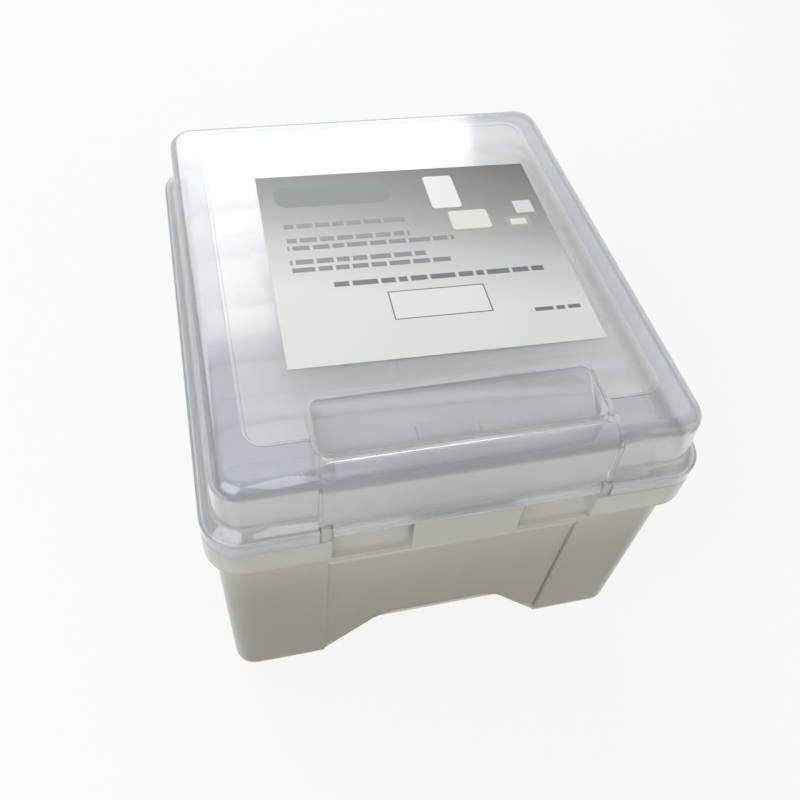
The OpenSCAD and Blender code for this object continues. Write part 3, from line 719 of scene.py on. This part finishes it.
# %% Six boxes in a row
upright = Matrix.Rotation(math.pi / 2, 4, "X")
for place in range(1, 7):
    stand_up = Matrix.Translation((0, ROW_FRONT + place * BOX_PITCH, BOX_STANDS)) @ upright
    for part, half, slot, plastic in (("tray", tray, "box_tray_plastic", tray_plastic),
                                      ("lid", small_lid, "box_lid_plastic", box_lid_plastic)):
        one = bpy.data.objects.new("work", half.data.copy())
        scene.collection.objects.link(one)
        one.data.transform(stand_up)
        made = finished(one, f"photo_box_{place}_{part}", f"box_{place}", plastic, edge=0.25)
        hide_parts(f"box_{place}_{part}")
bpy.data.objects.remove(tray)
bpy.data.objects.remove(small_lid)

# %% [markdown]
# A printed paper card lies on the raised panel of the lid. It is a coated card, so its white has a
# soft sheen. The print is drawn with fields: each is a rounded rectangle given by its middle, its
# half size and its corner, all in millimetres from the middle of the card. A picture of the print
# would need an image file, and the fields stay sharp from close by.

# %% Fields of the print
LABEL_TURN = -1.3
CARD_X, CARD_Y, CARD_THICK = 5.0, 0.5, 0.3
CARD_HALF = (60.0, 54.75)
title_field = ((-29.0, 40.5), (19.0, 1.5), 5.5)
picture_fields = [((18.5, 38.0), (5.0, 9.5), 1.5, "#EDEEEE"), ((26.0, 18.5), (7.0, 4.5), 1.5, "#E6E2DC"),
                  ((46.5, 15.0), (5.0, 3.0), 0.4, "#A9AC9E"), ((46.5, 15.0), (3.2, 1.6), 0.3, "#E4E5DE"),
                  ((51.5, 24.5), (3.6, 3.6), 0.5, "#DCDCDD")]
ruled_lines = [((-26.2, 21.4), (25.3, 1.1), "#8C8F90"), ((-26.5, 12.6), (24.8, 1.1), "#8C8F90"),
               ((-17.9, 8.0), (33.8, 1.0), "#878A8B"), ((-24.8, -0.2), (27.0, 1.1), "#85888A"),
               ((-20.0, -4.8), (31.4, 1.0), "#808385"), ((5.6, -14.3), (42.3, 1.1), "#6C7072"),
               ((45.7, -37.1), (9.8, 0.7), "#707476")]
frame_middle, frame_half, frame_corner, FRAME_LINE = (1.7, -28.2), (19.0, 7.4), 0.2, 0.5
frame_inside = tuple(size - FRAME_LINE for size in frame_half)
print("print:", len(picture_fields), "pale fields and", len(ruled_lines), "broken lines")

# %% [markdown]
# The ground runs from a dark grey at the back of the card to a pale one at its front, a little
# slanted. The fields are laid over it one by one. The lines are broken into pieces about 8 mm long
# by the cells of a one-dimensional Voronoi pattern. The paper's fibres, 0.1 mm in truth, are drawn
# 1.2 mm across, because only their effect on the sheen has to show.


# %% Helper that prints a field
def printed(tree, under, place, ink, middle, half, corner, broken_by=None):
    """A colour with one field of ink over it. broken_by is 0 where the ink is left out."""
    mask = inside(tree, place, middle, half, corner)
    if broken_by:
        mask = add(tree, "ShaderNodeMath", {"operation": "MULTIPLY"}, {0: mask, 1: broken_by}).outputs[0]
    return add(tree, "ShaderNodeMix", {"data_type": "RGBA", 7: linear(ink)}, {0: mask, 6: under}).outputs[2]


# %% Printed coated card
DASH_LENGTH, FIBRE_SIZE = 8.0, 1.2
card_paper, tree, shader = new_material("coated_card_offset_printed")
place = add(tree, "ShaderNodeTexCoord").outputs["Object"]
centred = add(tree, "ShaderNodeMapping",
              {"vector_type": "TEXTURE", "Location": (CARD_X * MM, CARD_Y * MM, 0),
               "Rotation": (0, 0, math.radians(LABEL_TURN)), "Scale": (MM, MM, 1.0)},
              {"Vector": place}).outputs["Vector"]
across = add(tree, "ShaderNodeSeparateXYZ", {}, {0: centred})
slant = add(tree, "ShaderNodeVectorMath", {"operation": "DOT_PRODUCT", 1: (0.2, 1, 0)}, {0: centred})
ground = [(-26.0, "#E0DFDB"), (0.0, "#C8C8C6"), (17.0, "#A9A9A8"), (35.0, "#8D8D8B"), (65.0, "#656361")]
colour = blended(tree, slant.outputs["Value"], ground)
colour = printed(tree, colour, centred, "#7F8586", *title_field)
for middle, half, corner, ink in picture_fields:
    colour = printed(tree, colour, centred, ink, middle, half, corner)
for number, (middle, half, ink) in enumerate(ruled_lines):
    along = add(tree, "ShaderNodeMath", {"operation": "ADD", 1: 97.0 * number}, {0: across.outputs["X"]})
    pieces = add(tree, "ShaderNodeTexVoronoi",
                 {"voronoi_dimensions": "1D", "feature": "DISTANCE_TO_EDGE", "Scale": 1 / DASH_LENGTH},
                 {"W": along.outputs[0]})
    dashes = add(tree, "ShaderNodeMapRange", {1: 0.06, 2: 0.10}, {0: pieces.outputs["Distance"]})
    colour = printed(tree, colour, centred, ink, middle, half, 0.3, dashes.outputs[0])
colour = printed(tree, colour, centred, "#5A5D5F", frame_middle, frame_half, frame_corner)
colour = printed(tree, colour, centred, "#E4E4E1", frame_middle, frame_inside, frame_corner)
tree.links.new(colour, shader.inputs["Base Color"])
fibre = add(tree, "ShaderNodeTexNoise", {"Scale": 1 / (FIBRE_SIZE * MM), "Detail": 2.0}, {"Vector": place})
sheen = add(tree, "ShaderNodeMapRange", {3: 0.34, 4: 0.48}, {0: fibre.outputs["Fac"]})
tree.links.new(sheen.outputs[0], shader.inputs["Roughness"])
relief = add(tree, "ShaderNodeBump", {"Strength": 0.06, "Distance": 0.0001},
             {"Height": fibre.outputs["Fac"]})
tree.links.new(relief.outputs["Normal"], shader.inputs["Normal"])
print("card:", len(tree.nodes), "nodes")

# %% [markdown]
# The back of the card and its cut edges are bare pulp: matt, slightly warm, and rougher than the
# coated face. Its clumps of fibre are drawn 2.5 mm across. It shows through the lid once that is up.

# %% Plain back of the card
PULP_SIZE = 2.5
card_back, tree, shader = new_material("uncoated_card_back")
place = add(tree, "ShaderNodeTexCoord").outputs["Object"]
pulp = add(tree, "ShaderNodeTexNoise", {"Scale": 1 / (PULP_SIZE * MM), "Detail": 4.0}, {"Vector": place})
greys = add(tree, "ShaderNodeMix", {"data_type": "RGBA", 6: linear("#E9E7E2"), 7: linear("#DDDBD5")},
            {0: pulp.outputs["Fac"]})
tree.links.new(greys.outputs[2], shader.inputs["Base Color"])
felt = add(tree, "ShaderNodeMapRange", {3: 0.66, 4: 0.84}, {0: pulp.outputs["Fac"]})
tree.links.new(felt.outputs[0], shader.inputs["Roughness"])
nap = add(tree, "ShaderNodeBump", {"Strength": 0.15, "Distance": 0.0001}, {"Height": pulp.outputs["Fac"]})
tree.links.new(nap.outputs["Normal"], shader.inputs["Normal"])

# %% The card itself
card_points = [(x * CARD_HALF[0], y * CARD_HALF[1], 0) for x, y in ((-1, -1), (1, -1), (1, 1), (-1, 1))]
card = pulled(card_points, {n: 0.4 for n in range(4)}, (0, 0, CARD_THICK))
turned = Matrix.Rotation(math.radians(LABEL_TURN), 4, "Z")
card.data.transform(Matrix.Translation((CARD_X, CARD_Y, PANEL_TOP)) @ turned)
label = finished(card, "label_card_printed", "lid", card_paper, edge=0.05)
label.data.materials.append(card_back)
for face in label.data.polygons:
    face.material_index = 0 if face.normal.z > 0.5 else 1
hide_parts("label_card")

# %% [markdown]
# The stage is a pale floor under an even white sky, with three soft lamps. A wide one behind and
# above, like a window, lays the broad sheen on the back of the lid. A large one at the left fills the
# front, and a small warm one low at the right keeps that side from going grey. Seen directly,
# mirrored, or through the plastic, the floor and the sky are white, while the light that they give
# stays at a plain level.

# %% The floor
def is_looked_at(tree):
    """1 for rays from the camera, from a mirror or through the plastic."""
    rays = add(tree, "ShaderNodeLightPath").outputs
    straight = add(tree, "ShaderNodeMath", {"operation": "MAXIMUM"},
                   {0: rays["Is Camera Ray"], 1: rays["Is Glossy Ray"]})
    looked_at = add(tree, "ShaderNodeMath", {"operation": "MAXIMUM"},
                    {0: straight.outputs[0], 1: rays["Is Transmission Ray"]})
    return looked_at.outputs[0]


FLOOR_GLOW, SKY_LIGHT = 0.85, 0.4
bm = bmesh.new()
bmesh.ops.create_grid(bm, x_segments=1, y_segments=1, size=3)
floor_mesh = bpy.data.meshes.new("studio_floor")
bm.to_mesh(floor_mesh)
bm.free()
studio_floor = bpy.data.objects.new("studio_floor", floor_mesh)
scene.collection.objects.link(studio_floor)
floor_paint, tree, shader = new_material("studio_floor_matt_white")
tree.nodes.remove(shader)
matt = add(tree, "ShaderNodeBsdfDiffuse", {"Color": linear("#E6E6E6")})
glow = add(tree, "ShaderNodeEmission", {"Color": linear("#FFFFFF"), "Strength": 1.0})
share = add(tree, "ShaderNodeMath", {"operation": "MULTIPLY", 1: FLOOR_GLOW}, {0: is_looked_at(tree)})
both = add(tree, "ShaderNodeMixShader", {}, {0: share.outputs[0], 1: matt.outputs[0], 2: glow.outputs[0]})
tree.links.new(both.outputs[0], tree.nodes["Material Output"].inputs["Surface"])
floor_mesh.materials.append(floor_paint)

# %% The sky
world = bpy.data.worlds.new("white_studio")
world.use_nodes = True
scene.world = world
sky = world.node_tree
level_of_sky = add(sky, "ShaderNodeMapRange", {3: SKY_LIGHT, 4: 1.0}, {0: is_looked_at(sky)})
sky.nodes["Background"].inputs["Color"].default_value = linear("#FFFFFF")
sky.links.new(level_of_sky.outputs[0], sky.nodes["Background"].inputs["Strength"])
print("sky:", SKY_LIGHT, "as light, 1.0 as seen")


# %% The three lamps
def soft_lamp(name, place, size, watts, tint):
    """A large lamp that looks at the middle of the case."""
    light = bpy.data.lights.new(name, "AREA")
    light.shape = "RECTANGLE"
    light.size, light.size_y = size
    light.energy = watts
    light.color = linear(tint)[:3]
    lamp = bpy.data.objects.new(name, light)
    lamp.location = place
    lamp.rotation_euler = (Vector((0, 0, 0.1)) - Vector(place)).to_track_quat("-Z", "Y").to_euler()
    scene.collection.objects.link(lamp)
    print(name, watts, "W")


soft_lamp("window_behind", (-0.15, 1.0, 0.78), (1.2, 0.65), 6.7, "#FFFFFF")
soft_lamp("left_fill", (-0.6, -0.55, 0.7), (0.9, 0.9), 7.2, "#F6FAFF")
soft_lamp("warm_fill", (0.7, -0.6, 0.25), (0.5, 0.4), 0.7, "#FFE3BE")
